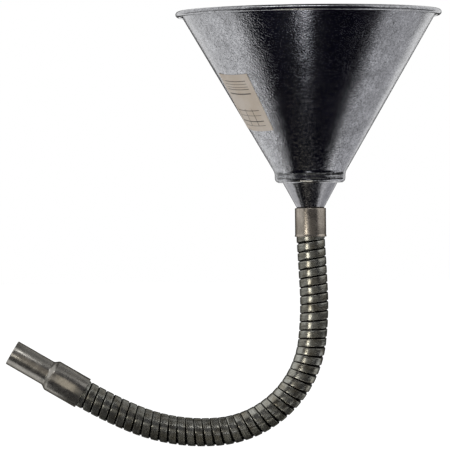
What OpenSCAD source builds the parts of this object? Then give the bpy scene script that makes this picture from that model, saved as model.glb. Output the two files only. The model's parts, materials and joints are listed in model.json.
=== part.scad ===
// Fuel funnel: a galvanised sheet bowl, a lift-out strainer, a spout cone, and a strip-wound flexible metal
// hose that ends in a stepped nozzle. The origin is the centre of the mouth, at the height of the rim's top.
// +Z is up, and the hose bends in the XZ plane, towards -X. The hose is built turn by turn: each turn of the
// interlocked strip is a ring whose tongue lies in the fold of the ring above it, and tilts there.

/* [Bowl] */
// Outside diameter over the rolled rim
mouth_d = 200; // [170:1:240]
// Angle between the wall and the axis
bowl_angle = 30.2; // [26:0.1:36]
// Thickness of the galvanised sheet
sheet_t = 0.8; // [0.6:0.05:1]
// Outside radius of the rolled rim
curl_r = 2.2; // [1.9:0.1:3]
// How far round the rim's sheet is rolled, from the wall
curl_turn = 285; // [240:5:300]
// Outside diameter of the foot
foot_d = 53.2; // [50:0.1:60]
// Height of the foot's straight skirt
skirt_h = 5.6; // [4.5:0.1:9]
// Outside radius of the fold under the foot
fold_r = 2.2; // [1.8:0.1:3]
// Play of the wire in the rolled rim
wire_play = 0.2; // [0.1:0.05:0.4]

/* [Label] */
// Height of the label's upper edge below the rim
label_top = 47; // [30:1:60]
// Length of the label along the wall
label_len = 50; // [30:1:55]
// Width of the label, as an angle round the bowl
label_angle = 26; // [15:1:40]
// Where the label's middle lies, from the front towards -X
label_at = 51; // [0:1:180]
// Thickness of the label's paper
paper_t = 0.12; // [0.1:0.02:0.2]
// Thickness of the glue under it
glue_t = 0.05; // [0.02:0.01:0.1]

/* [Spout cone] */
// Angle between the lower cone's wall and the axis
spout_angle = 28.6; // [24:0.1:34]
// Outside diameter of the tube that enters the hose
tube_d = 18.2; // [16.5:0.1:18.4]
// Radial play between that tube and the hose round it
hose_play = 0.3; // [0.2:0.05:0.6]
// How far the tube stops above the ferrule's lower end
tube_short = 1.5; // [1:0.5:6]
// Gap between the folded sheets, and round the cone in the fold
seam_gap = 0.1; // [0.05:0.05:0.2]

/* [Strainer] */
// Height of the strainer's frame
frame_h = 2.4; // [1.5:0.1:4]
// Width of the frame's flat ring
frame_w = 3.2; // [2:0.1:5]
// Thickness of the gauze
gauze_t = 0.5; // [0.3:0.1:0.8]
// Play between the frame and the foot, all round
strainer_play = 0.4; // [0.2:0.1:0.8]

/* [Ferrule] */
// Length of the ferrule
ferrule_len = 21.5; // [18:0.5:30]
// Thickness of the ferrule's wall
ferrule_t = 0.8; // [0.6:0.05:1.2]
// Height of the flare at its lower edge
flare_h = 1.6; // [0:0.1:3]
// How far the flare stands out
flare = 0.3; // [0:0.05:0.5]
// Distance from the bowl's fold down to the ferrule
ferrule_drop = 18.8; // [17:0.1:26]
// Gap between the ferrule's turned-in lip and the cone
lip_gap = 0.3; // [0.2:0.05:0.5]

/* [Hose strip] */
// Length of one turn along the hose
pitch = 6.65; // [6.2:0.05:7.2]
// Width of the crest, which shows outside
crest_w = 5.6; // [5:0.05:5.8]
// Thickness of the strip
strip_t = 0.3; // [0.2:0.02:0.34]
// Depth of the groove between two crests
groove_h = 1; // [0.9:0.05:1.1]
// Length of the tongue that lies in the fold above
tongue_len = 3.4; // [3.1:0.05:3.8]
// Radial play between a hook and the wall it slides on
hook_play = 0.25; // [0.2:0.01:0.3]
// Radial play round the hose in the ferrule
sleeve_play = 0.2; // [0.15:0.05:0.4]

/* [Hose bend] */
// Distance from the ferrule's edge to the first hinge line
first_hinge = 1.75; // [1.5:0.05:3]
// Bend of the first turn, which hangs crooked in the ferrule
first_bend = -3.1; // [-4:0.1:4]
// Turns in the straight neck
neck_turns = 5; // [3:1:6]
// Bend of each turn in the neck
neck_bend = 0.1; // [-1:0.1:2]
// Turns in the shoulder
shoulder_turns = 6; // [4:1:7]
// Bend of each turn in the shoulder
shoulder_bend = 1.6; // [0:0.1:3]
// Turns in the elbow
elbow_turns = 16; // [12:1:17]
// Bend of each turn in the elbow
elbow_bend = 4.9; // [3:0.1:5.2]
// Turns in the sweep
sweep_turns = 10; // [8:1:11]
// Bend of each turn in the sweep
sweep_bend = 2.8; // [1:0.1:5]
// Turns in the tail, up to the nozzle
tail_turns = 6; // [4:1:7]
// Bend of each turn in the tail
tail_bend = 1.2; // [0:0.1:3]

/* [Nozzle] */
// Radial play round the hose in the wide tube
socket_play = 0.5; // [0.3:0.05:0.8]
// Length of the wide tube
socket_len = 26.2; // [24:0.1:32]
// Length of the curved step
step_len = 4.7; // [3:0.1:8]
// Outside diameter of the outlet tube
outlet_d = 19.5; // [17:0.1:21]
// Length of the outlet tube
outlet_len = 30.6; // [20:0.1:40]
// Thickness of the nozzle's wall
nozzle_t = 1; // [0.8:0.05:1.1]
// How far the nozzle's edge covers the last crest
socket_cover = 2.5; // [1:0.1:3]

/* [Hidden] */
$fn = 96;
// Rounding of the crest's edges, in strip thicknesses, and the number of chords in it
edge_share = 0.7;
edge_steps = 3;
// Chords in each half of the nozzle's curved step
step_steps = 6;
// Turns of the hose inside the ferrule and inside the nozzle
upper_hidden = 3;
lower_hidden = 4;
// A length that reaches past whatever it cuts
past = 1;
// Angle between two points of the rolled rim and of the fold
arc_step = 15;

// Rim: centre of the rolled section, and the wall's start on it
rim_r = mouth_d / 2 - curl_r;
rim_z = -curl_r;
wire_r = curl_r - sheet_t - wire_play;
wall_in = [-cos(bowl_angle), sin(bowl_angle)];
wall_down = [-sin(bowl_angle), -cos(bowl_angle)];
rim_c = [rim_r, rim_z];
wall_face = rim_c + wall_in * (curl_r - sheet_t);

// Foot: where the wall meets the skirt, and the fold below it
foot_r = foot_d / 2;
wall_len = (wall_face[0] - foot_r) / sin(bowl_angle);
foot_top = wall_face[1] - cos(bowl_angle) * wall_len;
fold_z = foot_top - skirt_h;
foot_bottom = fold_z - fold_r;

// Hose strip: the tongue runs round the spout's tube, and the crest stands out from it by the groove
tube_r = tube_d / 2;
tongue_r = tube_r + hose_play + strip_t;
crest_r = tongue_r + groove_h;

// Spout cone: the flange lies on the fold's lip, and the cone passes through the lip's hole
flange_z = foot_bottom + sheet_t + seam_gap;
flange_r = foot_r - fold_r;
ferrule_top = foot_bottom - ferrule_drop;
ferrule_bottom = ferrule_top - ferrule_len;
ferrule_in = crest_r + sleeve_play;
lip_r = ferrule_in - ferrule_t / 2;
cone_at_lip = lip_r - lip_gap;
cone_r = cone_at_lip + (flange_z - ferrule_top) * tan(spout_angle);
lip_hole = cone_r + 2 * seam_gap;
tube_top = ferrule_top - (cone_at_lip - tube_r) / tan(spout_angle);
// The sheet's thickness, measured level across the sloping wall
spout_level = sheet_t / cos(spout_angle);

// Strainer: the frame rests on the flange, inside the skirt
frame_z = flange_z + sheet_t + seam_gap;
frame_r = foot_r - sheet_t - strainer_play;
gauze_r = frame_r - sheet_t - seam_gap;

// Hooks: the hinge line lies midway between the two
groove_w = pitch - crest_w;
hook_h = groove_h - strip_t - hook_play;
hinge_in = (tongue_len + groove_w) / 2;
edge_r = edge_share * strip_t;

// Hose bend: the bend at every hinge, from the ferrule to the nozzle
bends = concat(
    [first_bend],
    [for (i = [1:neck_turns]) neck_bend],
    [for (i = [1:shoulder_turns]) shoulder_bend],
    [for (i = [1:elbow_turns]) elbow_bend],
    [for (i = [1:sweep_turns]) sweep_bend],
    [for (i = [1:tail_turns]) tail_bend]
);
hinges = len(bends);
free_turns = hinges - 1;

// The hose's direction after hinge k, from straight down towards -X, and the place of hinge k
function heading(k) = k < 1 ? 0 : heading(k - 1) + bends[k - 1];
function along(angle) = [-sin(angle), 0, -cos(angle)];
function hinge(k) = k <= 1 ? [0, 0, ferrule_bottom - first_hinge] : hinge(k - 1) + pitch * along(heading(k - 1));

// Nozzle: its edge, as a distance below the last hinge
socket_edge = hinge_in + crest_w - socket_cover;
socket_r = crest_r + socket_play + nozzle_t;
outlet_r = outlet_d / 2;
step_z = -socket_len;
outlet_z = step_z - step_len;
nozzle_z = outlet_z - outlet_len;

function two_digits(k) = k < 10 ? str("0", k) : str(k);
function turn_node(k) = str("hose_turn_", two_digits(k));

// A flat ring or a tube, standing on its lower face
module tube_ring(r_out, r_in, z_low, h) {
    translate([0, 0, z_low])
        difference() {
            cylinder(h = h, r = r_out);
            translate([0, 0, -past]) cylinder(h = h + 2 * past, r = r_in);
        }
}

// Points round a circle between two angles. Those between the ends lie at whole steps, so that the outermost
// point, the highest and the lowest are among them, and a quarter of a step or more from either end.
function arc(centre, r, from, to) =
    let (turn = to > from ? arc_step : -arc_step, first = turn * (floor(from / turn + 1 / 4) + 1))
        [for (a = concat([from], [for (a = [first:turn:to - turn / 4]) a], [to])) centre + r * [cos(a), sin(a)]];

// Section of the whole sheet: the rolled rim, the wall, the skirt, the fold below it and the lip that holds the
// spout cone's flange. It runs down the inside and back up the outside.
module sheet_section() {
    wall_end = 180 - bowl_angle;
    curl_edge = wall_end - curl_turn;
    fold_c = [foot_r - fold_r, fold_z];
    inner_len = wall_len + sheet_t * tan(bowl_angle / 2);
    polygon(concat(
        arc(rim_c, curl_r, curl_edge, wall_end),
        [wall_face + wall_in * sheet_t + wall_down * inner_len],
        arc(fold_c, fold_r - sheet_t, 0, -90),
        [[lip_hole, foot_bottom + sheet_t], [lip_hole, foot_bottom]],
        arc(fold_c, fold_r, -90, 0),
        [[foot_r, foot_top]],
        arc(rim_c, curl_r - sheet_t, wall_end, curl_edge)
    ));
}

module bowl() {
    color("silver")
        rotate_extrude() sheet_section();
}

module rim_wire() {
    color("dimgray")
        rotate_extrude() translate(rim_c) circle(r = wire_r);
}

module paper_label() {
    high = wall_face + wall_down * (label_top + wall_face[1]) / cos(bowl_angle) - wall_in * glue_t;
    color("wheat")
        rotate([0, 0, -90 - label_at - label_angle / 2])
            rotate_extrude(angle = label_angle)
                polygon([
                    high,
                    high + wall_down * label_len,
                    high + wall_down * label_len - wall_in * paper_t,
                    high - wall_in * paper_t
                ]);
}

module strainer_frame() {
    color("goldenrod") {
        tube_ring(frame_r, frame_r - frame_w, frame_z, sheet_t);
        tube_ring(frame_r, frame_r - sheet_t, frame_z, frame_h);
    }
}

module strainer_gauze() {
    color("darkgoldenrod")
        translate([0, 0, frame_z + sheet_t + seam_gap]) cylinder(h = gauze_t, r = gauze_r);
}

module spout_cone() {
    tube_end = ferrule_bottom + tube_short;
    color("gainsboro")
        rotate_extrude()
            polygon([
                [flange_r, flange_z],
                [flange_r, flange_z + sheet_t],
                [cone_r - spout_level + sheet_t * tan(spout_angle), flange_z + sheet_t],
                [tube_r - sheet_t, tube_top],
                [tube_r - sheet_t, tube_end],
                [tube_r, tube_end],
                [tube_r, tube_top],
                [cone_r, flange_z]
            ]);
}

// A sleeve with a turned-in lip above and a slightly flared edge below
module ferrule() {
    ferrule_out = ferrule_in + ferrule_t;
    flare_top = ferrule_bottom + flare_h;
    lip_z = ferrule_top - ferrule_t;
    color("gray")
        rotate_extrude() {
            polygon([
                [ferrule_in + flare, ferrule_bottom],
                [ferrule_out + flare, ferrule_bottom],
                [ferrule_out, flare_top],
                [ferrule_out, lip_z],
                [ferrule_in, lip_z],
                [ferrule_in, flare_top]
            ]);
            translate([ferrule_in, lip_z])
                intersection() {
                    circle(r = ferrule_t);
                    square(2 * ferrule_t);
                }
            translate([lip_r, lip_z]) square([ferrule_in - lip_r + ferrule_t / 2, ferrule_t]);
        }
}

// One turn of the strip: crest, hook, web, tongue and the tongue's hook, hung from its hinge line
module strip_turn() {
    rounded = [
        for (i = [0:edge_steps])
            let (a = 90 * i / edge_steps)
                [crest_r - edge_r + edge_r * sin(a), hinge_in + edge_r - edge_r * cos(a)]
    ];
    rounded_end = [
        for (i = [0:edge_steps])
            let (a = 90 * i / edge_steps)
                [crest_r - edge_r + edge_r * cos(a), hinge_in + crest_w - edge_r + edge_r * sin(a)]
    ];
    crest_end = hinge_in + crest_w;
    hook_tip = crest_r - strip_t - hook_h;
    tongue_end = hinge_in - tongue_len;
    outline = concat(
        rounded,
        rounded_end,
        [
            [hook_tip, crest_end],
            [hook_tip, crest_end - strip_t],
            [crest_r - strip_t, crest_end - strip_t],
            [crest_r - strip_t, hinge_in + strip_t],
            [tongue_r - strip_t, hinge_in + strip_t],
            [tongue_r - strip_t, tongue_end],
            [tongue_r + hook_h, tongue_end],
            [tongue_r + hook_h, tongue_end + strip_t],
            [tongue_r, tongue_end + strip_t],
            [tongue_r, hinge_in]
        ]
    );
    rotate_extrude() polygon([for (p = outline) [p[0], -p[1]]]);
}

// Places its children at hinge k, turned to the hose's direction there
module at_hinge(k) {
    translate(hinge(k))
        rotate([0, heading(k), 0]) children();
}

module hose_turn(k) {
    color("slategray") at_hinge(k) strip_turn();
}

module hose_upper_end() {
    color("slategray")
        for (i = [1:upper_hidden])
            translate(hinge(1) + [0, 0, i * pitch]) strip_turn();
}

module hose_lower_end() {
    color("slategray")
        at_hinge(hinges)
            for (i = [0:lower_hidden - 1])
                translate([0, 0, -i * pitch]) strip_turn();
}

module nozzle() {
    // The step's outside: a half wave of a cosine between the two tubes
    step_curve = [
        for (i = [0:2 * step_steps])
            let (f = i / (2 * step_steps))
                [outlet_r + (socket_r - outlet_r) * (1 + cos(180 * f)) / 2, step_z - step_len * f]
    ];
    outside = concat([[socket_r, 0]], step_curve, [[outlet_r, nozzle_z]]);
    inside = concat([[socket_r - nozzle_t, 0]], [for (p = step_curve) p - [nozzle_t, 0]],
        [[outlet_r - nozzle_t, nozzle_z]]);
    color("gray")
        at_hinge(hinges)
            translate([0, 0, -socket_edge])
                rotate_extrude()
                    polygon(concat(outside, [for (i = [len(inside) - 1:-1:0]) inside[i]]));
}

bowl();
rim_wire();
paper_label();
strainer_frame();
strainer_gauze();
spout_cone();
ferrule();
hose_upper_end();
for (k = [1:free_turns])
    hose_turn(k);
hose_lower_end();
nozzle();
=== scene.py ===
import json
import math

import bpy
import numpy as np
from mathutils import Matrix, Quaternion, Vector

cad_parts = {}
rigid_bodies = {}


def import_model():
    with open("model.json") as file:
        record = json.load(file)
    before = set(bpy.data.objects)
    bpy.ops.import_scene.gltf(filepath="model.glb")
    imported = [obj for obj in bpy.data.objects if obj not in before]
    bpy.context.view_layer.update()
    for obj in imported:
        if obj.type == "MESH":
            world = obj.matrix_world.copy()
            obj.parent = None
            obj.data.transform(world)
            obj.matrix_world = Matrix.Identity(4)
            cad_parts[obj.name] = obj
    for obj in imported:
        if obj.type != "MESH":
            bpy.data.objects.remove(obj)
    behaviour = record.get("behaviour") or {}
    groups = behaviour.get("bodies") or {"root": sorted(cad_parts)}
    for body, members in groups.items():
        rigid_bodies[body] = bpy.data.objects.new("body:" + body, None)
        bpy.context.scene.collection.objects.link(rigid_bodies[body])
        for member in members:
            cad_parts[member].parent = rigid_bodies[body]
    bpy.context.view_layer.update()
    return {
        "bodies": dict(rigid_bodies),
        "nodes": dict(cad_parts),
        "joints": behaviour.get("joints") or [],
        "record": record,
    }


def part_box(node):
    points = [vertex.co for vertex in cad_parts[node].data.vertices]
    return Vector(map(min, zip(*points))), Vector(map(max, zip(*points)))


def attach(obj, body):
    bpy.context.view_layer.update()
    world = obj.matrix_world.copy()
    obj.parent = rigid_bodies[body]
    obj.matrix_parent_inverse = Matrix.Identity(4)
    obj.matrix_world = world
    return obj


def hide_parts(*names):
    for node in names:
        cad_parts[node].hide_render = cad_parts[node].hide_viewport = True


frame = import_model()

# ---------------------------------------------------------------------------------------------------------
# Bowl. A cone of hot-dip galvanised sheet with a rolled rim, and at its foot a short skirt that is folded in
# under the flange of the spout cone. The sheet is mottled, pitted and scratched.
# ---------------------------------------------------------------------------------------------------------

SHEET = 0.0008
BOWL_ANGLE = math.radians(30.2)
SPOUT_ANGLE = math.radians(28.6)
CONE_AT_LIP = 0.0102
FOOT = 0.0266
SEAM = 0.0001
SHOULDER_ROUND = 0.009
FOLD_ROUND = 0.0034
CURL = 0.0022
CURL_TURN = math.radians(285)
# The angle that the rounded edge of the sheet takes up at the curl's end
CURL_EDGE = 0.2
# Where the rough band lies in X, and between which heights the rubbed surface of the rim's roll begins
ROUGH_BAND = (-0.058, -0.010)
RUBBED_FROM = (-0.0052, -0.0042)


def bent_line(corners, radii, steps=6):
    """A line through the corners in the (r, z) plane. Each inner corner is rounded by an arc that touches
    both legs: centre = tangent point + radius * normal, and the points turn from one leg's direction to
    the other's."""
    corners = np.asarray(corners, dtype=float)
    points = [corners[:1]]
    for before, corner, after, radius in zip(corners, corners[1:], corners[2:], radii):
        way_in = (corner - before) / np.hypot(*(corner - before))
        way_out = (after - corner) / np.hypot(*(after - corner))
        across = way_out - way_in * way_in.dot(way_out)
        across /= np.hypot(*across)
        turn = math.acos(way_in.dot(way_out))
        start = corner - way_in * radius * math.tan(turn / 2)
        a = np.linspace(0, turn, steps + 1)[:, None]
        points.append(start + across * radius - across * radius * np.cos(a) + way_in * radius * np.sin(a))
    return np.concatenate(points + [corners[-1:]])


def arc(centre, radius, start, end, steps):
    """Points on a circle in the (r, z) plane: centre + radius * (cos a, sin a), a from start to end."""
    a = np.linspace(start, end, steps + 1)
    return np.column_stack((centre[0] + radius * np.cos(a), centre[1] + radius * np.sin(a)))


def sheet_outline(middle, thickness, cap=4):
    """The closed outline of a sheet that follows a middle line: the line moved half the thickness along its
    normal, a half circle round its end, the line moved the other way, and a half circle round its start."""
    leg = np.diff(middle, axis=0)
    middle = middle[np.concatenate(([True], np.hypot(*leg.T) > 1e-8))]
    leg = np.diff(middle, axis=0)
    leg /= np.hypot(*leg.T)[:, None]
    way = np.concatenate((leg[:1], leg[:-1] + leg[1:], leg[-1:]))
    way /= np.hypot(*way.T)[:, None]
    bevel = np.concatenate(([1.0], np.sqrt((1 + np.sum(leg[:-1] * leg[1:], axis=1)) / 2), [1.0]))
    side = np.column_stack((-way[:, 1], way[:, 0])) * thickness / 2 / bevel[:, None]
    a = np.linspace(0, np.pi, cap + 2)[1:-1, None]
    end = middle[-1] + np.cos(a) * side[-1] + np.sin(a) * way[-1] * thickness / 2
    start = middle[0] - np.cos(a) * side[0] - np.sin(a) * way[0] * thickness / 2
    return np.concatenate((middle + side, end, (middle - side)[::-1], start))


def grid_quads(rows, columns, rows_close=False):
    """The quads of a grid of points numbered row by row. Its columns close, and its rows where that is so."""
    i, j = np.meshgrid(np.arange(rows if rows_close else rows - 1), np.arange(columns), indexing="ij")
    i, j = i.ravel(), j.ravel()
    below, beside = (i + 1) % rows, (j + 1) % columns
    return np.column_stack((i * columns + j, i * columns + beside, below * columns + beside,
                            below * columns + j))


def mesh_piece(name, points, quads, caps=(), uv=None, sharp=38):
    """A piece at the origin from points, quads and end caps, with its faces turned outwards: where the quads'
    signed volume, the sum of a . (b x c) over their triangles, comes out negative, every face is reversed."""
    a, b, c, d = (points[quads[:, i]] for i in range(4))
    volume = np.sum(a * np.cross(b, c)) + np.sum(a * np.cross(c, d))
    faces = quads.tolist() + [list(cap) for cap in caps]
    if volume < 0:
        faces = [face[::-1] for face in faces]
        uv = None if uv is None else uv[:, ::-1]
    mesh = bpy.data.meshes.new(name)
    mesh.from_pydata(points.tolist(), [], faces)
    mesh.polygons.foreach_set("use_smooth", np.ones(len(faces), dtype=bool))
    if uv is not None:
        values = np.zeros((len(mesh.loops), 2), dtype=np.float32)
        values[:4 * len(quads)] = uv.reshape(-1, 2)
        mesh.uv_layers.new(name="surface").data.foreach_set("uv", values.ravel())
    mesh.set_sharp_from_angle(angle=math.radians(sharp))
    piece = bpy.data.objects.new(name, mesh)
    bpy.context.scene.collection.objects.link(piece)
    return piece


def turned(name, outline, around=360, place=(0, 0, 0), down=(0, 0, -1)):
    """A turned piece. Each outline point (r, z) goes round the axis: place + r * (cos a * side + sin a * Y)
    + z * up, where up is against the piece's own direction down."""
    up = -np.asarray(down, dtype=float)
    side = np.cross((0.0, 1.0, 0.0), up)
    a = np.linspace(0, 2 * np.pi, around, endpoint=False)[:, None]
    ring = np.cos(a) * side + np.sin(a) * np.array((0.0, 1.0, 0.0))
    points = np.asarray(place) + outline[:, 0, None, None] * ring + outline[:, 1, None, None] * up
    return mesh_piece(name, points.reshape(-1, 3), grid_quads(len(outline), around, rows_close=True))


def new_material(name):
    """A new material: itself, its tree, its shader, and the object's own coordinates."""
    made = bpy.data.materials.new(name)
    made.use_nodes = True
    tree = made.node_tree
    return made, tree, tree.nodes["Principled BSDF"], tree.nodes.new("ShaderNodeTexCoord").outputs["Object"]


def stretched(tree, place, scale, turn=(0, 0, 0)):
    """Coordinates stretched by a factor along each axis."""
    node = tree.nodes.new("ShaderNodeMapping")
    node.inputs["Scale"].default_value = scale
    node.inputs["Rotation"].default_value = turn
    tree.links.new(place, node.inputs["Vector"])
    return node.outputs["Vector"]


def noise(tree, place, scale, detail=3.0, rough=0.55):
    """A cloudy value with scale clouds a metre."""
    node = tree.nodes.new("ShaderNodeTexNoise")
    node.inputs["Scale"].default_value = scale
    node.inputs["Detail"].default_value = detail
    node.inputs["Roughness"].default_value = rough
    tree.links.new(place, node.inputs["Vector"])
    return node.outputs["Fac"]


def ramp(tree, value, *stops, kind="LINEAR"):
    """A band of greys or colours over a value. Each stop is (place, grey or colour)."""
    node = tree.nodes.new("ShaderNodeValToRGB")
    band = node.color_ramp
    band.interpolation = kind
    while len(band.elements) < len(stops):
        band.elements.new(1.0)
    for element, (at, colour) in zip(band.elements, stops):
        element.position = at
        element.color = (*((colour,) * 3 if np.isscalar(colour) else colour), 1)
    tree.links.new(value, node.inputs["Fac"])
    return node.outputs["Color"]


def mixed(tree, kind, factor, first, second):
    """Two colours mixed in the given way. Each is a socket or a plain colour."""
    node = tree.nodes.new("ShaderNodeMix")
    node.data_type = "RGBA"
    node.blend_type = kind
    for socket, value in zip([s for s in node.inputs if s.enabled], (factor, first, second)):
        if isinstance(value, bpy.types.NodeSocket):
            tree.links.new(value, socket)
        else:
            socket.default_value = value if np.isscalar(value) else (*value, 1)
    return next(s for s in node.outputs if s.enabled)


def product(tree, first, *others):
    """Colours multiplied together, one after the other."""
    for other in others:
        first = mixed(tree, "MULTIPLY", 1.0, first, other)
    return first


def spread(tree, value, start, end, first=0.0, last=1.0):
    """A value that goes evenly from first to last while the given one goes from start to end."""
    node = tree.nodes.new("ShaderNodeMapRange")
    for name, number in zip(("From Min", "From Max", "To Min", "To Max"), (start, end, first, last)):
        node.inputs[name].default_value = number
    tree.links.new(value, node.inputs["Value"])
    return node.outputs["Result"]


def bumped(tree, shader, height, distance):
    """Gives the shader a bump of the given height in metres, on top of any bump that it has."""
    node = tree.nodes.new("ShaderNodeBump")
    node.inputs["Distance"].default_value = distance
    node.inputs["Strength"].default_value = 1.0
    tree.links.new(height, node.inputs["Height"])
    if shader.inputs["Normal"].is_linked:
        tree.links.new(shader.inputs["Normal"].links[0].from_socket, node.inputs["Normal"])
    tree.links.new(node.outputs["Normal"], shader.inputs["Normal"])


def galvanised_sheet(name, tint, mottle):
    """Zinc on steel: crystals in slightly different greys, clouds and runs down the wall, thin scratches,
    black pits, and a fine uneven grain that is rougher in a band left of the middle and rubbed smooth on the
    rim's roll."""
    made, tree, shader, place = new_material(name)
    crystals = tree.nodes.new("ShaderNodeTexVoronoi")
    crystals.inputs["Scale"].default_value = 620.0
    shaken = mixed(tree, "ADD", 0.0008, place, noise(tree, place, 300.0, 2.0))
    tree.links.new(shaken, crystals.inputs["Vector"])
    spangle = ramp(tree, crystals.outputs["Color"], (0.1, 1 - 0.3 * mottle), (0.9, 1.0))
    cloud = ramp(tree, noise(tree, place, 70.0, 6.0, 0.7), (0.36, 1 - 0.26 * mottle), (0.60, 1.0))
    runs = ramp(tree, noise(tree, stretched(tree, place, (1, 1, 0.15)), 190.0, 5.0, 0.65),
                (0.34, 1 - 0.16 * mottle), (0.6, 1.0))
    pepper = ramp(tree, noise(tree, place, 1150.0, 3.0, 0.7), (0.36, 1 - 0.75 * mottle), (0.50, 1.0))
    pits = ramp(tree, noise(tree, place, 900.0, 0.0), (0.755, 1.0), (0.785, 0.10))
    thin = noise(tree, stretched(tree, place, (1, 1, 0.06), (0.5, 0.35, 0.2)), 1100.0, 1.0)
    scratches = ramp(tree, thin, (0.72, 1.0), (0.76, 0.45))
    tone = product(tree, spangle, cloud, runs, pepper, pits, scratches)
    tree.links.new(product(tree, tint, tone), shader.inputs["Base Color"])
    tree.links.new(ramp(tree, noise(tree, place, 500.0, 4.0, 0.7), (0.35, 0.11), (0.65, 0.24)),
                   shader.inputs["Roughness"])
    shader.inputs["Metallic"].default_value = 1.0
    bumped(tree, shader, noise(tree, place, 26.0, 2.0, 0.5), 0.0003)
    split = tree.nodes.new("ShaderNodeSeparateXYZ")
    tree.links.new(place, split.inputs["Vector"])
    rough_band = ramp(tree, spread(tree, split.outputs["X"], *ROUGH_BAND),
                      (0.0, 0.2), (0.3, 1.0), (0.65, 1.0), (1.0, 0.35))
    rubbed_roll = spread(tree, split.outputs["Z"], *RUBBED_FROM, first=1.0, last=0.15)
    bumped(tree, shader, noise(tree, place, 2200.0, 1.0), 0.00002 * mottle)
    bumped(tree, shader, product(tree, noise(tree, place, 850.0, 1.0), rough_band, rubbed_roll),
           0.00022 * mottle)
    return made


def finished(piece, finish, slot, body, *nodes):
    """Gives a piece its material, sets it on its body, and has it stand for its CAD nodes. Its slot is not
    used.
    """
    piece.data.materials.clear()
    piece.data.materials.append(finish)
    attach(piece, body)
    if nodes:
        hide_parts(*nodes)


bowl_low, bowl_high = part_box("bowl")
cone_low, cone_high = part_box("spout_cone")
ferrule_low, ferrule_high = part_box("ferrule")
foot_z = bowl_low.z
flange_z = foot_z + SHEET + SEAM
wall_in = np.array((-math.cos(BOWL_ANGLE), math.sin(BOWL_ANGLE)))
wall_down = np.array((-math.sin(BOWL_ANGLE), -math.cos(BOWL_ANGLE)))
curl_centre = np.array((bowl_high.x - CURL, bowl_high.z - CURL))
curl_end = math.pi - BOWL_ANGLE
wall_top = curl_centre + wall_in * (CURL - SHEET / 2)
skirt_r = FOOT - SHEET / 2
skirt_top = wall_top + wall_down * (wall_top[0] - skirt_r) / math.sin(BOWL_ANGLE)
cone_top_r = CONE_AT_LIP + (flange_z - ferrule_high.z) * math.tan(SPOUT_ANGLE)
lip_hole = cone_top_r + 2 * SEAM
curl_line = arc(curl_centre, CURL - SHEET / 2, curl_end - CURL_TURN + CURL_EDGE, curl_end, steps=40)
wall_line = bent_line((wall_top, skirt_top, (skirt_r, foot_z + SHEET / 2),
                       (lip_hole + SHEET / 2, foot_z + SHEET / 2)), (SHOULDER_ROUND, FOLD_ROUND), steps=12)
bowl_middle = np.concatenate((curl_line, wall_line[1:]))
finished(turned("bowl_sheet", sheet_outline(bowl_middle, SHEET), around=512),
         galvanised_sheet("galvanised_sheet", (0.54, 0.545, 0.57), mottle=1.0), "galvanised", "funnel",
         "bowl")

# ---------------------------------------------------------------------------------------------------------
# Rim wire. A ring of steel wire that the rim's sheet is rolled round, seen only through the roll's gap. It
# is the CAD ring itself, in a material of its own.
# ---------------------------------------------------------------------------------------------------------


def wire_steel(name):
    """Drawn steel wire: dull grey with darker specks of scale."""
    made, tree, shader, place = new_material(name)
    specks = ramp(tree, noise(tree, place, 700.0, 4.0), (0.35, 0.35), (0.6, 1.0))
    tree.links.new(product(tree, (0.30, 0.29, 0.28), specks), shader.inputs["Base Color"])
    shader.inputs["Metallic"].default_value = 1.0
    shader.inputs["Roughness"].default_value = 0.45
    bumped(tree, shader, noise(tree, place, 1500.0, 2.0), 0.00001)
    return made


wire = frame["nodes"]["rim_wire"]
wire.data.materials.clear()
wire.data.materials.append(wire_steel("wire_steel"))

# ---------------------------------------------------------------------------------------------------------
# Paper label. A bare paper label glued to the bowl, with plain printed rules and no words. It has yellowed,
# and its corners have lifted a little.
# ---------------------------------------------------------------------------------------------------------

LABEL_WIDTH = 0.0382
LABEL_LENGTH = 0.0482
LABEL_FROM_APEX = 0.1133
# The front lies at -90 degrees, and the label's middle 60 degrees round from it towards -X
LABEL_AT = math.radians(-90 - 60)
LABEL_TILT = math.radians(3.6)
PAPER = 0.00012
GLUE = 0.00005
CORNER_LIFT = 0.00022
WAVE = 0.00002
INK = 0.14
BARE = 1.0


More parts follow.
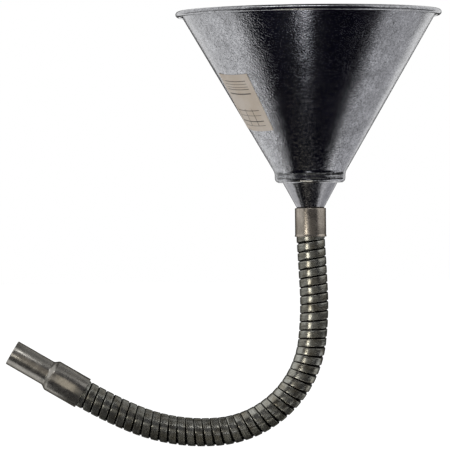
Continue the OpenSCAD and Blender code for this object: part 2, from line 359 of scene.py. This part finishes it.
def paper_patch(name, rows=48, columns=40):
    """A sheet that lies on the bowl. It is a flat rectangle, slightly tilted, on the unrolled cone, where a
    place is the distance from the cone's apex and an angle; rolled up, that angle is divided by the sine of
    the bowl's half angle. The outer face stands off by the paper's thickness, the corners lift by the sixth
    power of the distance from the middle, and a low wave runs across."""
    down, round_ = np.meshgrid(np.linspace(0, 1, rows), np.linspace(-1, 1, columns), indexing="ij")
    outer = curl_centre + wall_in * (CURL - SHEET)
    apex = outer + wall_down * outer[0] / math.sin(BOWL_ANGLE)
    u = round_ * LABEL_WIDTH / 2
    v = (0.5 - down) * LABEL_LENGTH
    beside = u * math.cos(LABEL_TILT) + v * math.sin(LABEL_TILT)
    ahead = LABEL_FROM_APEX + v * math.cos(LABEL_TILT) - u * math.sin(LABEL_TILT)
    from_apex = np.hypot(beside, ahead)
    a = LABEL_AT + np.arctan2(beside, ahead) / math.sin(BOWL_ANGLE)
    corner = (np.abs(2 * down - 1) * np.abs(round_)) ** 6
    lift = GLUE + CORNER_LIFT * corner + WAVE * (1 + np.sin(9 * down + 5 * round_))
    layers = []
    for off in (lift, lift + PAPER):
        r = apex[0] - wall_down[0] * from_apex - wall_in[0] * off
        z = apex[1] - wall_down[1] * from_apex - wall_in[1] * off
        layers.append(np.stack((r * np.cos(a), r * np.sin(a), z), axis=-1).reshape(-1, 3))
    points = np.concatenate(layers)
    i, j = np.meshgrid(np.arange(rows - 1), np.arange(columns - 1), indexing="ij")
    first = (i * columns + j).ravel()
    face = np.column_stack((first, first + 1, first + columns + 1, first + columns))
    count = rows * columns
    edge = np.concatenate((np.arange(columns), np.arange(2, rows + 1) * columns - 1,
                           (rows - 1) * columns + np.arange(columns - 2, -1, -1),
                           np.arange(rows - 2, 0, -1) * columns))
    after = np.roll(edge, -1)
    sides = np.column_stack((edge, edge + count, after + count, after))
    quads = np.concatenate((face, face[:, ::-1] + count, sides))
    flat = np.column_stack(((round_.ravel() + 1) / 2, down.ravel()))
    uv = np.concatenate((flat, flat))[quads]
    return mesh_piece(name, points, quads, uv=uv)


def ruled(tree, value, *rules):
    """Bare paper with ink where the value lies on a rule. Each rule is (start, thickness)."""
    stops = [(0.0, BARE)]
    for start, thick in rules:
        stops += [(start, INK), (start + thick, BARE)]
    return ramp(tree, value, *stops, kind="CONSTANT")


def printed_paper(name):
    """Yellowed paper: soft blotches, fibres, and dark rules printed on it. Rules across it form two groups,
    and the lower group is crossed by three more, like an empty table."""
    made, tree, shader, place = new_material(name)
    split = tree.nodes.new("ShaderNodeSeparateXYZ")
    tree.links.new(tree.nodes.new("ShaderNodeUVMap").outputs["UV"], split.inputs["Vector"])
    beside, down = split.outputs["X"], split.outputs["Y"]
    rules = ruled(tree, down, (0.11, 0.012), (0.165, 0.008), (0.215, 0.008), (0.255, 0.012), (0.33, 0.018),
                  (0.63, 0.014), (0.72, 0.008), (0.82, 0.014), (0.90, 0.008))
    margin = ramp(tree, beside, (0.0, 0.0), (0.12, 1.0), (0.86, 0.0), kind="CONSTANT")
    uprights = ruled(tree, beside, (0.12, 0.015), (0.42, 0.015), (0.66, 0.015))
    table = ramp(tree, down, (0.0, 0.0), (0.61, 1.0), (0.90, 0.0), kind="CONSTANT")
    printing = product(tree, mixed(tree, "MIX", margin, (1, 1, 1), rules),
                       mixed(tree, "MIX", table, (1, 1, 1), uprights))
    blotch = ramp(tree, noise(tree, place, 70.0, 4.0), (0.35, (0.90, 0.86, 0.80)), (0.65, (1, 1, 1)))
    fibre = ramp(tree, noise(tree, stretched(tree, place, (1, 1, 3)), 900.0, 3.0), (0.3, 0.94), (0.7, 1.0))
    paper = product(tree, (0.62, 0.55, 0.48), blotch, fibre)
    tree.links.new(product(tree, paper, printing), shader.inputs["Base Color"])
    shader.inputs["Roughness"].default_value = 0.6
    bumped(tree, shader, noise(tree, place, 160.0, 3.0), 0.00012)
    return made


finished(paper_patch("label_paper"), printed_paper("printed_paper"), "paper", "funnel", "paper_label")

# ---------------------------------------------------------------------------------------------------------
# Spout cone. A second, smaller cone of the same sheet. Its flange is held in the bowl's fold, and its tube
# runs down inside the hose.
# ---------------------------------------------------------------------------------------------------------

TUBE = 0.0091
FLANGE_ROUND = 0.0005
NECK_ROUND = 0.003

tube_top = ferrule_high.z - (CONE_AT_LIP - TUBE) / math.tan(SPOUT_ANGLE)
level = SHEET / math.cos(SPOUT_ANGLE) / 2
flange_mid = flange_z + SHEET / 2
cone_middle = bent_line((
    (cone_high.x - SHEET / 2, flange_mid),
    (cone_top_r - level + SHEET / 2 * math.tan(SPOUT_ANGLE), flange_mid),
    (TUBE - SHEET / 2, tube_top + (level - SHEET / 2) / math.tan(SPOUT_ANGLE)),
    (TUBE - SHEET / 2, cone_low.z + SHEET / 2)), (FLANGE_ROUND, NECK_ROUND), steps=8)
# The spout's sheet is the bowl's sheet with a darker tint: painted shade
finished(turned("spout_sheet", sheet_outline(cone_middle, SHEET)),
         galvanised_sheet("spout_sheet", (0.40, 0.40, 0.42), mottle=0.6), "galvanised", "funnel",
         "spout_cone")

# ---------------------------------------------------------------------------------------------------------
# Strainer. A pressed brass frame that drops into the foot, with a woven brass wire gauze lying in it. Both
# ride on the strainer's body, which lifts out through the mouth.
# ---------------------------------------------------------------------------------------------------------

FRAME_SHEET = 0.0008
FRAME_WIDTH = 0.0032
FRAME_ROUND = 0.0005
GAUZE_WIRE = 0.00011
GAUZE_RISE = 1.05 * GAUZE_WIRE
GAUZE_MESH = 0.00125
WIRE_POINTS = 168
WIRE_SIDES = 5


def brass(name):
    """Worn yellow brass with a brown bloom."""
    made, tree, shader, place = new_material(name)
    bloom = ramp(tree, noise(tree, place, 140.0, 4.0), (0.35, (0.62, 0.50, 0.36)), (0.6, (1, 1, 1)))
    tree.links.new(product(tree, (0.66, 0.50, 0.24), bloom), shader.inputs["Base Color"])
    tree.links.new(ramp(tree, noise(tree, place, 300.0, 3.0), (0.3, 0.22), (0.7, 0.4)),
                   shader.inputs["Roughness"])
    shader.inputs["Metallic"].default_value = 1.0
    bumped(tree, shader, noise(tree, place, 600.0, 2.0), 0.00002)
    return made


def woven_gauze(name, radius, middle_z):
    """Plain weave: wires run both ways, one mesh apart, across a disc. A wire's height is a wave that is over
    at one crossing and under at the next: rise * sin(pi * distance / mesh), with the opposite sign on every
    second wire and between the two directions."""
    count = int(radius / GAUZE_MESH)
    offset = (np.arange(-count, count) + 0.5) * GAUZE_MESH
    half = np.sqrt(radius ** 2 - offset ** 2)
    run = half[:, None] * np.linspace(-1, 1, WIRE_POINTS)
    parity = np.where(np.arange(-count, count) % 2 == 0, 1.0, -1.0)[:, None]
    wave = np.pi / GAUZE_MESH
    height = parity * GAUZE_RISE * np.sin(wave * run)
    slope = parity * GAUZE_RISE * wave * np.cos(wave * run)
    a = np.linspace(0, 2 * np.pi, WIRE_SIDES, endpoint=False)
    long_ = np.sqrt(1 + slope ** 2)
    along = run[..., None] - GAUZE_WIRE * np.sin(a) * (slope / long_)[..., None]
    up = height[..., None] + GAUZE_WIRE * np.sin(a) * (1 / long_)[..., None]
    beside = offset[:, None, None] + GAUZE_WIRE * np.cos(a) + 0 * along
    warp = np.stack((along, beside, middle_z + up), axis=-1)
    weft = np.stack((beside, along, middle_z - up), axis=-1)[:, ::-1]
    points = np.concatenate((warp, weft)).reshape(-1, 3)
    wires = np.arange(2 * len(offset))[:, None]
    per_wire = WIRE_POINTS * WIRE_SIDES
    quads = (grid_quads(WIRE_POINTS, WIRE_SIDES)[None] + wires[:, :, None] * per_wire).reshape(-1, 4)
    first = wires * per_wire + np.arange(WIRE_SIDES)[::-1]
    last = wires * per_wire + per_wire - WIRE_SIDES + np.arange(WIRE_SIDES)
    return mesh_piece(name, points, quads, np.concatenate((first, last)).tolist(), sharp=80)


frame_low, frame_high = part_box("strainer_frame")
gauze_low, gauze_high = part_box("strainer_gauze")
ring_r = frame_high.x - FRAME_SHEET / 2
ring_z = frame_low.z + FRAME_SHEET / 2
frame_middle = bent_line(((ring_r, frame_high.z - FRAME_SHEET / 2), (ring_r, ring_z),
                          (frame_high.x - FRAME_WIDTH + FRAME_SHEET / 2, ring_z)), (FRAME_ROUND,))
brass_finish = brass("brass")
finished(turned("strainer_ring", sheet_outline(frame_middle, FRAME_SHEET, cap=5), around=240), brass_finish,
         "brass", "strainer", "strainer_frame")
finished(woven_gauze("strainer_weave", gauze_high.x, (gauze_low.z + gauze_high.z) / 2), brass_finish,
         "brass", "strainer", "strainer_gauze")

# ---------------------------------------------------------------------------------------------------------
# Ferrule. A plated steel sleeve round the joint of cone and hose, turned in above and flared below. Its
# plating is dull, scratched and brown-specked, with painted shade where it turns from the eye.
# ---------------------------------------------------------------------------------------------------------

HOSE = 0.0107
SLEEVE_PLAY = 0.0002
FERRULE_SHEET = 0.0008
FERRULE_LIP = 0.0004
LIP_ROUND = 0.00036
FLARE_HEIGHT = 0.0016
FLARE = 0.0003
FLARE_ROUND = 0.002


def painted_edge_shade(tree):
    """A grey that darkens where a round surface turns away from the eye: painted shade along its edges."""
    node = tree.nodes.new("ShaderNodeLayerWeight")
    node.inputs["Blend"].default_value = 0.5
    return ramp(tree, node.outputs["Facing"], (0.45, 1.0), (0.82, 0.10))


def plated_steel(name, tint, down=(0, 0, -1)):
    """Dull nickel on steel: turning marks round it, long faint streaks down it, brown specks, a grey bloom,
    and painted shade where it turns from the eye. It is rougher in patches."""
    made, tree, shader, place = new_material(name)
    slant = math.atan2(down[0], -down[2])
    own = stretched(tree, place, (1, 1, 1), (0, -slant, 0))
    bloom = ramp(tree, noise(tree, place, 120.0, 5.0, 0.6), (0.34, 0.74), (0.62, 1.0))
    specks = ramp(tree, noise(tree, place, 900.0, 2.0), (0.68, (1, 1, 1)), (0.76, (0.42, 0.30, 0.24)))
    streaks = ramp(tree, noise(tree, stretched(tree, own, (1, 1, 0.05)), 650.0, 2.0), (0.3, 0.86), (0.6, 1.0))
    # The tone includes painted shade where the surface turns edge-on to the eye
    tone = product(tree, bloom, specks, streaks, painted_edge_shade(tree))
    tree.links.new(product(tree, tint, tone), shader.inputs["Base Color"])
    tree.links.new(ramp(tree, noise(tree, place, 200.0, 4.0), (0.3, 0.20), (0.7, 0.34)),
                   shader.inputs["Roughness"])
    shader.inputs["Metallic"].default_value = 0.9
    shader.inputs["Specular Tint"].default_value = (0.25, 0.24, 0.22, 1)
    bumped(tree, shader, noise(tree, stretched(tree, own, (0.06, 0.06, 1)), 2600.0, 2.0), 0.000010)
    bumped(tree, shader, noise(tree, place, 260.0, 3.0), 0.00005)
    return made


sleeve_r = HOSE + SLEEVE_PLAY + FERRULE_SHEET / 2
sleeve_top = ferrule_high.z - FERRULE_SHEET / 2
ferrule_middle = bent_line((
    (sleeve_r - FERRULE_LIP, sleeve_top), (sleeve_r, sleeve_top),
    (sleeve_r, ferrule_low.z + FLARE_HEIGHT), (sleeve_r + FLARE, ferrule_low.z + FERRULE_SHEET / 3)),
    (LIP_ROUND, FLARE_ROUND))
finished(turned("ferrule_sleeve", sheet_outline(ferrule_middle, FERRULE_SHEET), around=240),
         plated_steel("ferrule_plating", (0.46, 0.415, 0.36)), "plated_steel", "funnel", "ferrule")

# ---------------------------------------------------------------------------------------------------------
# Hose. One long strip of zinc-plated steel, folded to an S and wound so that each turn's tongue lies in the
# fold of the turn above. Every turn is its own piece here, cut from its neighbours at the back of the hose,
# so that the hose can bend turn by turn.
# ---------------------------------------------------------------------------------------------------------

STRIP = 0.0003
CREST_MIDDLE = 0.005025
CREST_HALF = 0.0028
CREST_DROP = 0.00007
TONGUE_TOP = -0.001175
TONGUE_DEPTH = 0.001
HOOK_TIP = 0.00045
HOOK_ROUND = 0.0002
CREST_ROUND = 0.0003
CROWN_ROUND = 0.06
TURN_STEPS = 96
UPPER_TURNS = 3
LOWER_TURNS = 4

hinge_at = {joint["child"]: np.array(joint["pos_m"]) for joint in frame["joints"] if joint["type"] == "hinge"}
free_turns = sum(name.startswith("turn_") for name in frame["bodies"])
turn_bodies = [f"turn_{k:02d}" for k in range(1, free_turns + 1)]
chain = np.array([hinge_at[name] for name in turn_bodies + ["nozzle_end"]])
PITCH = float(np.linalg.norm(chain[1] - chain[0]))
outlet = next(mount for mount in frame["record"]["mounts"] if mount["name"] == "outlet")
nozzle_way = np.array(outlet["axis"])


def hose_headings():
    """The hose's direction after each hinge, as an angle from straight down towards -X: the angle of the leg
    to the next hinge, and of the nozzle after the last one."""
    legs = np.concatenate((np.diff(chain, axis=0), nozzle_way[None]))
    return np.arctan2(-legs[:, 0], -legs[:, 2])


def hose_frame(t):
    """The place, direction and side of the hose at turn number t. From the middle of one turn to the middle
    of the next it turns evenly about the hinge between them: place = hinge + distance from it * direction,
    and the direction's angle goes evenly from one turn's to the next's."""
    headings = np.concatenate((np.zeros(UPPER_TURNS + 1), hose_headings(), [0] * (LOWER_TURNS + 1)))
    headings[-LOWER_TURNS - 1:] = headings[-LOWER_TURNS - 2]
    above = chain[0] + np.arange(UPPER_TURNS, 0, -1)[:, None] * np.array((0, 0, PITCH))
    beyond = chain[-1] + np.arange(1, LOWER_TURNS + 2)[:, None] * PITCH * nozzle_way
    hinges = np.concatenate((above, chain, beyond))
    q = np.asarray(t) - 0.5
    k = np.floor(q).astype(int)
    f = q - k
    turn = k + UPPER_TURNS
    angle = headings[turn] + f * (headings[turn + 1] - headings[turn])
    way = np.stack((-np.sin(angle), 0 * angle, -np.cos(angle)), axis=-1)
    side = np.stack((np.cos(angle), 0 * angle, -np.sin(angle)), axis=-1)
    ahead = CREST_MIDDLE - PITCH + PITCH * f
    return hinges[turn] + ahead[..., None] * way, way, side


def strip_outline():
    """The folded strip's closed section, as (distance down the hose from its hinge, radius): the tongue's
    hook, the tongue, the web, a slightly crowned crest, and the crest's hook."""
    half = STRIP / 2
    crest_r = HOSE - half
    tongue_r = HOSE - TONGUE_DEPTH - half
    tongue_u = TONGUE_TOP + half
    web_u = CREST_MIDDLE - CREST_HALF + half
    end_u = CREST_MIDDLE + CREST_HALF - half
    middle = bent_line((
        (tongue_u, tongue_r + HOOK_TIP), (tongue_u, tongue_r), (web_u, tongue_r),
        (web_u, crest_r - CREST_DROP), (CREST_MIDDLE, crest_r), (end_u, crest_r - CREST_DROP),
        (end_u, crest_r - HOOK_TIP)),
        (HOOK_ROUND, HOOK_ROUND, CREST_ROUND, CROWN_ROUND, CREST_ROUND), steps=4)
    return sheet_outline(middle, STRIP, cap=3)


def wound_strip(name, first, last):
    """The strip from turn number first to last. At turn number t it stands at 90 degrees - 360 degrees * t
    round the hose, and each point of its section lies at place + (distance - crest's middle) * direction
    + radius * (cos * side + sin * Y). Its points also keep their depth below the crest, in tongue depths."""
    section = strip_outline()
    t = np.linspace(first, last, int(round((last - first) * TURN_STEPS)) + 1)
    place, way, side = hose_frame(t)
    a = np.pi / 2 - 2 * np.pi * t
    out = np.cos(a)[:, None] * side + np.sin(a)[:, None] * np.array((0.0, 1.0, 0.0))
    points = (place[:, None] + (section[:, 0] - CREST_MIDDLE)[None, :, None] * way[:, None]
              + section[:, 1][None, :, None] * out[:, None])
    count = len(section)
    quads = grid_quads(len(t), count)
    across = np.concatenate(([0], np.cumsum(np.hypot(*np.diff(section, axis=0, append=section[:1]).T))))
    row, column = quads[:, 0] // count, quads[:, 0] % count
    along = t * 2 * np.pi * HOSE
    uv = np.stack((along[row[:, None] + (0, 0, 1, 1)], across[column[:, None] + (0, 1, 1, 0)]), axis=-1)
    caps = (list(range(count))[::-1], list(range((len(t) - 1) * count, len(t) * count)))
    piece = mesh_piece(name, points.reshape(-1, 3), quads, caps, uv, sharp=50)
    depth = np.tile(np.clip((HOSE - section[:, 1]) / TONGUE_DEPTH, 0, 1), len(t))
    piece.data.attributes.new("depth", "FLOAT", "POINT").data.foreach_set("value", depth.astype(np.float32))
    return piece


def strip_steel(name):
    """Zinc-plated strip: greenish grey, with rolling lines along it and brown dirt in patches. Painted shade
    darkens the grooves and the edges that turn from the eye, and leaves the crests light."""
    made, tree, shader, place = new_material(name)
    surface = tree.nodes.new("ShaderNodeUVMap").outputs["UV"]
    lines = noise(tree, stretched(tree, surface, (0.02, 1, 1)), 3200.0, 3.0, 0.6)
    smear = noise(tree, stretched(tree, surface, (0.12, 1, 1)), 900.0, 4.0, 0.6)
    dirt = ramp(tree, noise(tree, place, 160.0, 5.0, 0.6), (0.34, (0.60, 0.56, 0.50)), (0.58, (1, 1, 1)))
    depth = tree.nodes.new("ShaderNodeAttribute")
    depth.attribute_name = "depth"
    # Painted shade in the grooves: darker the deeper a point lies below the crest
    painted_groove_shade = ramp(tree, depth.outputs["Fac"], (0.06, 1.0), (0.32, 0.04))
    # The tone holds the painted shade of the grooves and of the edges
    tone = product(tree, ramp(tree, lines, (0.35, 0.5), (0.6, 1.0)),
                   ramp(tree, smear, (0.3, 0.78), (0.6, 1.0)), dirt, painted_groove_shade, painted_edge_shade(tree))
    tree.links.new(product(tree, (0.50, 0.50, 0.455), tone), shader.inputs["Base Color"])
    tree.links.new(ramp(tree, smear, (0.3, 0.17), (0.7, 0.30)), shader.inputs["Roughness"])
    shader.inputs["Metallic"].default_value = 0.9
    shader.inputs["Specular Tint"].default_value = (0.25, 0.25, 0.24, 1)
    bumped(tree, shader, lines, 0.00004)
    bumped(tree, shader, noise(tree, place, 350.0, 3.0), 0.00004)
    return made


strip_finish = strip_steel("strip_steel")
finished(wound_strip("hose_strip_upper", 1 - UPPER_TURNS, 1), strip_finish, "hose_strip", "funnel",
         "hose_upper_end")
for k, body in enumerate(turn_bodies, start=1):
    finished(wound_strip(f"hose_strip_{k:02d}", k, k + 1), strip_finish, "hose_strip", body,
             f"hose_turn_{k:02d}")
finished(wound_strip("hose_strip_lower", free_turns + 1, free_turns + 1 + LOWER_TURNS), strip_finish,
         "hose_strip", "nozzle_end", "hose_lower_end")

# ---------------------------------------------------------------------------------------------------------
# Nozzle. A plated steel tube, drawn down in a smooth step to the outlet tube, and pressed onto the hose. It
# lies along the outlet's own direction.
# ---------------------------------------------------------------------------------------------------------

SOCKET = 0.0122
SOCKET_LENGTH = 0.0262
STEP = 0.0047
STEP_POINTS = 25
OUTLET = 0.00975
OUTLET_LENGTH = 0.0306
NOZZLE_WALL = 0.001
SOCKET_EDGE = 0.005325


def nozzle_outline():
    """The tube's section: the wide tube, a half wave of a cosine down to the outlet's radius, the outlet
    tube, and rounded edges at both ends."""
    f = np.linspace(0, 1, STEP_POINTS)
    step_r = OUTLET + (SOCKET - OUTLET) * (1 + np.cos(np.pi * f)) / 2
    step = np.column_stack((step_r, -SOCKET_LENGTH - STEP * f))
    outside = np.concatenate(([(SOCKET, -NOZZLE_WALL / 2)], step,
                              [(OUTLET, -SOCKET_LENGTH - STEP - OUTLET_LENGTH + NOZZLE_WALL / 2)]))
    way = np.gradient(outside, axis=0)
    way /= np.hypot(*way.T)[:, None]
    inward = np.column_stack((way[:, 1], -way[:, 0]))
    return sheet_outline(outside + inward * NOZZLE_WALL / 2, NOZZLE_WALL, cap=7)


nozzle_start = chain[-1] + SOCKET_EDGE * nozzle_way
finished(turned("nozzle_tube", nozzle_outline(), around=300, place=nozzle_start, down=nozzle_way),
         plated_steel("nozzle_plating", (0.37, 0.355, 0.325), nozzle_way), "plated_steel", "nozzle_end",
         "nozzle")

# ---------------------------------------------------------------------------------------------------------
# Studio. A pale floor well below the hanging funnel, a white surround, two soft lamps, a nearly level camera,
# and cards that only the metal sees: dark ones for its bands, pale and bright ones for its lit sides and
# glints. Two of the dark ones also keep light from above off the hose.
# ---------------------------------------------------------------------------------------------------------

FLOOR_Z = -0.45
CARD_Z = FLOOR_Z + 0.02
SHADE_Z = -0.1455


def seen_by_camera_or_gloss(tree):
    """One where the camera looks at a surface directly or in a reflection, and nought for all other light."""
    path = tree.nodes.new("ShaderNodeLightPath")
    both = path.outputs["Is Camera Ray"]
    for kind in ("Is Glossy Ray", "Is Transmission Ray"):
        node = tree.nodes.new("ShaderNodeMath")
        node.operation = "MAXIMUM"
        tree.links.new(both, node.inputs[0])
        tree.links.new(path.outputs[kind], node.inputs[1])
        both = node.outputs[0]
    return both


def card(name, centre, across, up, finish):
    """A flat card: its four corners lie at centre + or - across + or - up."""
    centre, across, up = (np.asarray(v, dtype=float) for v in (centre, across, up))
    corners = [centre - across - up, centre + across - up, centre + across + up, centre - across + up]
    mesh = bpy.data.meshes.new(name)
    mesh.from_pydata([tuple(c) for c in corners], [], [(0, 1, 2, 3)])
    made = bpy.data.objects.new(name, mesh)
    made.data.materials.append(finish)
    bpy.context.scene.collection.objects.link(made)
    return made


def mirror_card(name, centre, across, up, shade, keeps_light_off=False):
    """A card that shows only in reflections, in a shade of its own. It may also keep light off."""
    finish, _, shader, _ = new_material(name)
    shader.inputs["Base Color"].default_value = (0.0, 0.0, 0.0, 1)
    shader.inputs["Specular IOR Level"].default_value = 0.0
    shader.inputs["Emission Color"].default_value = (*shade, 1)
    shader.inputs["Emission Strength"].default_value = 1.0
    made = card(name, centre, across, up, finish)
    made.visible_camera = made.visible_diffuse = made.visible_transmission = False
    made.visible_shadow = keeps_light_off


def lamp(name, place, aim, width, height, power, colour):
    """A soft lamp: a rectangle at a place, turned to its aim."""
    data = bpy.data.lights.new(name, "AREA")
    data.shape = "RECTANGLE"
    data.size, data.size_y = width, height
    data.energy = power
    data.color = colour
    made = bpy.data.objects.new(name, data)
    bpy.context.scene.collection.objects.link(made)
    made.location = place
    made.rotation_euler = (Vector(aim) - Vector(place)).to_track_quat("-Z", "Y").to_euler()


floor_finish, tree, shader, _ = new_material("pale_floor")
shader.inputs["Base Color"].default_value = (0.8, 0.8, 0.8, 1)
shader.inputs["Roughness"].default_value = 0.9
shader.inputs["Emission Color"].default_value = (1, 1, 1, 1)
glow = tree.nodes.new("ShaderNodeMath")
glow.operation = "MULTIPLY"
glow.inputs[1].default_value = 0.45
tree.links.new(seen_by_camera_or_gloss(tree), glow.inputs[0])
tree.links.new(glow.outputs[0], shader.inputs["Emission Strength"])
card("floor", (0, 0, FLOOR_Z), (8, 0, 0), (0, 8, 0), floor_finish)
mirror_card("card_below_left", (-0.4, -0.38, CARD_Z), (0.4, 0, 0), (0, 0.285, 0), (0.004, 0.004, 0.01))
mirror_card("card_below_right", (0.4, -0.352, CARD_Z), (0.4, 0.067, 0), (0, 0.27, 0), (0.004, 0.004, 0.01))
mirror_card("card_under", (-0.035, 0.0125, CARD_Z), (0.235, 0, 0), (0, 0.1075, 0), (0.02, 0.02, 0.02))
mirror_card("card_floor_far", (0, -1.13, CARD_Z), (1.5, 0, 0), (0, 0.46, 0), (0.10, 0.10, 0.09))
mirror_card("card_streak", (-0.040, -0.386, FLOOR_Z + 0.03), (0.036, 0, 0), (0, 0.05, 0), (2.2, 2.2, 2.3))
mirror_card("card_floor_right", (0.95, 0.45, FLOOR_Z + 0.015), (0.6, 0, 0), (0, 0.55, 0), (0.70, 0.70, 0.72))
mirror_card("card_front", (-0.05, -1.6, 0.475), (2.3, 0, 0), (0, 0, 0.625), (0.02, 0.02, 0.03))
mirror_card("card_front_low", (1.0, -1.6, -0.3), (1.35, 0, 0), (0, 0, 0.16), (0.22, 0.21, 0.19))
mirror_card("card_left", (-0.9, 0.0, -0.3), (0, 1.0, 0), (0, 0, 0.15), (0.36, 0.36, 0.35))
mirror_card("card_right", (0.9, -0.3, -0.2965), (0, 1.3, 0), (0, 0, 0.1485), (0.02, 0.02, 0.02))
mirror_card("card_shade", (-0.1, -0.875, SHADE_Z), (0.75, 0, 0), (0, 0.675, 0), (0.02, 0.02, 0.03),
            keeps_light_off=True)
mirror_card("card_shade_near", (-0.115, -0.155, SHADE_Z), (0.055, 0, 0), (0, 0.045, 0), (0.01, 0.01, 0.02),
            keeps_light_off=True)
mirror_card("card_above", (-0.14, 0.2, 1.4), (0.56, 0, 0), (0, 1.2, 0), (0.04, 0.04, 0.04))
mirror_card("card_above_right", (0.86, -0.2, 1.4), (0.44, 0, 0), (0, 1.6, 0), (0.42, 0.42, 0.42))
mirror_card("card_glint", (-0.05, -0.08, FLOOR_Z + 0.035), (0.07, 0, 0), (0, 0.035, 0), (4.2, 3.95, 3.3))
mirror_card("card_glint_shield", (-0.05, -0.0245, -0.35), (0.2, 0, 0), (0, 0.0245, 0), (0.01, 0.01, 0.01))

nozzle_up = np.cross((0, 1, 0), nozzle_way)
before_nozzle = nozzle_start + np.array((0, -0.035, 0))
for name, along, above, half_length, half_height, shade in (
        ("card_outlet", 0.046, 0.0027, 0.016, 0.012, (0.30, 0.27, 0.24)),
        ("card_socket", 0.014, 0.0015, 0.0105, 0.014, (0.85, 0.78, 0.66))):
    mirror_card(name, before_nozzle + along * nozzle_way + above * nozzle_up,
                half_length * nozzle_way, half_height * nozzle_up, shade)

mirror_card("card_back_left", (-0.18, 0.6, -0.15), (0.08, 0, 0), (0, 0, 0.35), (0.03, 0.03, 0.03))
mirror_card("card_back_right", (0.18, 0.6, -0.15), (0.08, 0, 0), (0, 0, 0.35), (0.03, 0.03, 0.03))

world = bpy.data.worlds.new("surround")
bpy.context.scene.world = world
world.use_nodes = True
tree = world.node_tree
background = tree.nodes["Background"]
tree.links.new(spread(tree, seen_by_camera_or_gloss(tree), 0.0, 1.0, first=0.75),
               background.inputs["Strength"])
background.inputs["Color"].default_value = (1, 1, 1, 1)

lamp("lamp_left", (-0.9, -1.29, -0.275), (0, 0, -0.275), width=0.42, height=0.21, power=2.6,
     colour=(1.0, 0.95, 0.84))
lamp("lamp_top", (-0.3, -1.3, 1.1), (0, 0, -0.1), width=1.6, height=0.3, power=5.0, colour=(1.0, 1.0, 1.0))

target = Vector((-0.0644, 0.0, -0.1605))
distance = 2.5
elevation = math.radians(0.76)
camera_data = bpy.data.cameras.new("camera")
camera_data.angle = math.radians(7.75)
camera = bpy.data.objects.new("camera", camera_data)
bpy.context.scene.collection.objects.link(camera)
camera.location = target + distance * Vector((0, -math.cos(elevation), math.sin(elevation)))
lean = Quaternion((0, 0, 1), math.radians(-0.62))
camera.rotation_euler = ((target - camera.location).to_track_quat("-Z", "Y") @ lean).to_euler()
bpy.context.scene.camera = camera
bpy.context.scene.view_settings.view_transform = "Standard"
